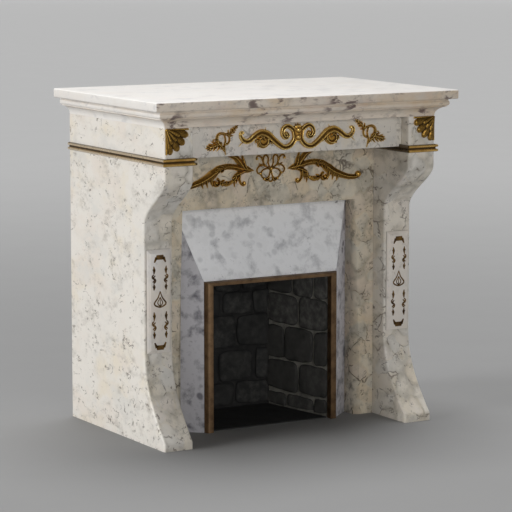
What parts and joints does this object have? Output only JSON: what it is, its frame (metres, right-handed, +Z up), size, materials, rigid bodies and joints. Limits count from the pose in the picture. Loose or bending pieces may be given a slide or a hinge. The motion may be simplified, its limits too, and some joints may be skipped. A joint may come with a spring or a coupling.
{
  "type": "fireplace",
  "caption": "Marble chimneypiece with a moulded shelf, scrolled legs, gilt mounts, brass rails and a sloping grey hood over a rough stone firebox.",
  "frame": {"origin": "on the ground, below the middle of the shelf in both directions", "axes": "+X to the right of someone facing the fire, +Y to the flat back, +Z up"},
  "size_m": [1.165, 0.749, 1.15],
  "materials": {
    "cream_marble": "polished cream marble, stands for stone",
    "grey_marble": "polished grey marble, stands for stone",
    "brass": "polished",
    "bronze": "brown patina",
    "gilt": "worn gilding",
    "rough_stone": "rough sooty stone",
    "sooty_stone": "sooty stone"
  },
  "bodies": {
    "root": {"mantel_shelf": "cream_marble", "bed_moulding": "cream_marble", "frieze": "cream_marble", "left_leg": "cream_marble", "right_leg": "cream_marble", "left_rail": "brass", "right_rail": "brass", "left_panel": "cream_marble", "right_panel": "cream_marble", "lintel": "cream_marble", "left_jamb": "cream_marble", "right_jamb": "cream_marble", "hood_slip": "grey_marble", "left_slip": "grey_marble", "right_slip": "grey_marble", "frame_top": "bronze", "frame_left": "bronze", "frame_right": "bronze", "firebox_back": "rough_stone", "firebox_left": "rough_stone", "firebox_right": "rough_stone", "firebox_roof": "rough_stone", "hearth": "sooty_stone", "frieze_scroll_mount": "gilt", "left_sprig_mount": "gilt", "right_sprig_mount": "gilt", "palmette_mount": "gilt", "left_bracket_mount": "gilt", "right_bracket_mount": "gilt", "left_shell_mount": "gilt", "right_shell_mount": "gilt"}
  },
  "joints": []
}
